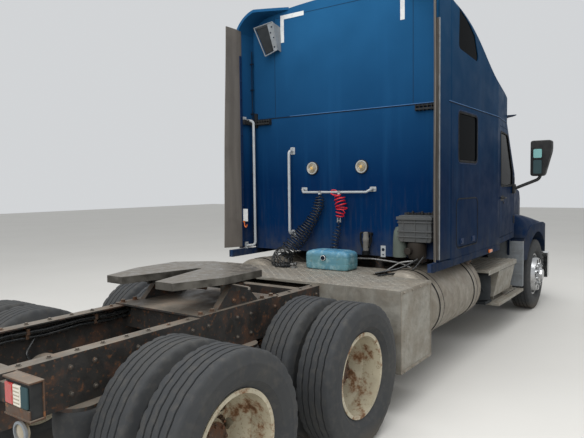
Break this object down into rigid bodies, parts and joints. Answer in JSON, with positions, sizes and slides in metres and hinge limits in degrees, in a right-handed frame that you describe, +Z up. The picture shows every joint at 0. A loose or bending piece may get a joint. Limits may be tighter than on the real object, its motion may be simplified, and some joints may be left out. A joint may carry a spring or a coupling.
{
  "type": "truck_tractor",
  "caption": "Conventional semi truck tractor with a blue high-roof sleeper cab, twin drive axles, tilting hood and a coupling plate; parked, rims rusty, coiled air lines behind the cab",
  "frame": {"origin": "On the ground, midway along the overall length and width", "axes": "+X forward, +Y to the driver's left, +Z up"},
  "size_m": [8.72, 3.11, 3.8004],
  "materials": {
    "cab_paint": "satin",
    "black_steel": "satin",
    "tyre": "matte",
    "rim_paint": "satin",
    "polished_alloy": "polished",
    "tank_alloy": "brushed",
    "tread_plate": "brushed",
    "glass": "polished",
    "black_plastic": "matte",
    "rubber": "matte",
    "bare_steel": "brushed",
    "cast": "matte",
    "trim_fabric": "matte",
    "lamp_lens": "polished",
    "canister": "polished",
    "red_hose": "satin",
    "black_hose": "satin",
    "chrome": "polished"
  },
  "bodies": {
    "chassis": {"air_coil_black": "black_hose", "air_coil_red": "red_hose", "air_tanks": "black_steel", "cab_glass": "glass", "cab_shell": "cab_paint", "dashboard": "black_plastic", "drive_axles": "black_steel", "drive_shafts": "black_steel", "engine_block": "cast", "exhaust_pipe": "bare_steel", "extender_flaps": "rubber", "fifth_wheel_base": "black_steel", "frame_brackets": "black_steel", "frame_rails": "black_steel", "front_axle": "black_steel", "front_bumper": "chrome", "fuel_tanks": "tank_alloy", "hose_ends": "bare_steel", "power_coil": "black_hose", "rear_deck": "tread_plate", "rear_fittings": "black_plastic", "rear_handles": "bare_steel", "rear_lamps": "lamp_lens", "roof_shell": "cab_paint", "seats_and_bunk": "trim_fabric", "side_fairings": "cab_paint", "springs": "black_steel", "step_boxes": "tread_plate", "sun_visor": "cab_paint", "tank_straps": "bare_steel", "water_canister": "canister"},
    "hood": {"hood": "cab_paint", "headlamps": "lamp_lens", "grille": "chrome"},
    "tie_rod": {"tie_rod": "black_steel"},
    "steering_wheel": {"steering_wheel": "black_plastic"},
    "fifth_wheel_plate": {"fifth_wheel_plate": "bare_steel"},
    "door_left": {"door_left": "cab_paint", "door_glass_left": "glass", "mirror_left": "black_plastic"},
    "luggage_door_left": {"luggage_door_left": "cab_paint"},
    "knuckle_left": {"knuckle_left": "cast"},
    "front_wheel_left": {"tyre_front_left": "tyre", "rim_front_left": "polished_alloy"},
    "mid_wheels_left": {"tyres_mid_left": "tyre", "rims_mid_left": "rim_paint"},
    "rear_wheels_left": {"tyres_rear_left": "tyre", "rims_rear_left": "rim_paint"},
    "door_right": {"door_right": "cab_paint", "door_glass_right": "glass", "mirror_right": "black_plastic"},
    "luggage_door_right": {"luggage_door_right": "cab_paint"},
    "knuckle_right": {"knuckle_right": "cast"},
    "front_wheel_right": {"tyre_front_right": "tyre", "rim_front_right": "polished_alloy"},
    "mid_wheels_right": {"tyres_mid_right": "tyre", "rims_mid_right": "rim_paint"},
    "rear_wheels_right": {"tyres_rear_right": "tyre", "rims_rear_right": "rim_paint"}
  },
  "joints": [
    {"name": "steer_left", "type": "hinge", "parent": "chassis", "child": "knuckle_left", "pos_m": [3.14, 0.86, 0.505], "axis": [0, 0, 1], "range_deg": [-35, 35]},
    {"name": "steer_right", "type": "hinge", "parent": "chassis", "child": "knuckle_right", "pos_m": [3.14, -0.86, 0.505], "axis": [0, 0, 1], "range_deg": [-35, 35]},
    {"name": "tie_rod_pin", "type": "hinge", "parent": "knuckle_left", "child": "tie_rod", "pos_m": [2.93, 0.86, 0.323], "axis": [0, 0, 1], "range_deg": [-35, 35]},
    {"name": "spin_front_left", "type": "hinge", "parent": "knuckle_left", "child": "front_wheel_left", "pos_m": [3.14, 1.029, 0.505], "axis": [0, 1, 0], "continuous": true},
    {"name": "spin_mid_left", "type": "hinge", "parent": "chassis", "child": "mid_wheels_left", "pos_m": [-2.2, 0.905, 0.505], "axis": [0, 1, 0], "continuous": true},
    {"name": "spin_rear_left", "type": "hinge", "parent": "chassis", "child": "rear_wheels_left", "pos_m": [-3.52, 0.905, 0.505], "axis": [0, 1, 0], "continuous": true},
    {"name": "spin_front_right", "type": "hinge", "parent": "knuckle_right", "child": "front_wheel_right", "pos_m": [3.14, -1.029, 0.505], "axis": [0, 1, 0], "continuous": true},
    {"name": "spin_mid_right", "type": "hinge", "parent": "chassis", "child": "mid_wheels_right", "pos_m": [-2.2, -0.905, 0.505], "axis": [0, 1, 0], "continuous": true},
    {"name": "spin_rear_right", "type": "hinge", "parent": "chassis", "child": "rear_wheels_right", "pos_m": [-3.52, -0.905, 0.505], "axis": [0, 1, 0], "continuous": true},
    {"name": "hood_tilt", "type": "hinge", "parent": "chassis", "child": "hood", "pos_m": [4.18, 0, 0.8], "axis": [0, 1, 0], "range_deg": [0, 65]},
    {"name": "door_left_hinge", "type": "hinge", "parent": "chassis", "child": "door_left", "pos_m": [2.096, 1.097, 1.5], "axis": [0, 0, -1], "range_deg": [0, 70]},
    {"name": "luggage_door_left_hinge", "type": "hinge", "parent": "chassis", "child": "luggage_door_left", "pos_m": [0.015, 1.172, 1.68], "axis": [1, 0, 0], "range_deg": [0, 80]},
    {"name": "door_right_hinge", "type": "hinge", "parent": "chassis", "child": "door_right", "pos_m": [2.096, -1.097, 1.5], "axis": [0, 0, 1], "range_deg": [0, 70]},
    {"name": "luggage_door_right_hinge", "type": "hinge", "parent": "chassis", "child": "luggage_door_right", "pos_m": [0.015, -1.172, 1.68], "axis": [-1, 0, 0], "range_deg": [0, 80]},
    {"name": "fifth_wheel_tilt", "type": "hinge", "parent": "chassis", "child": "fifth_wheel_plate", "pos_m": [-2.61, 0, 1.11], "axis": [0, 1, 0], "range_deg": [-12, 12]},
    {"name": "steering_wheel_turn", "type": "hinge", "parent": "chassis", "child": "steering_wheel", "pos_m": [1.7, 0.56, 1.82], "axis": [-0.5736, 0, 0.8192], "range_deg": [-640, 640]}
  ],
  "couplings": [
    {"joint": "steer_right", "follows": "steer_left", "ratio": 1},
    {"joint": "tie_rod_pin", "follows": "steer_left", "ratio": -1},
    {"joint": "steering_wheel_turn", "follows": "steer_left", "ratio": 18}
  ]
}
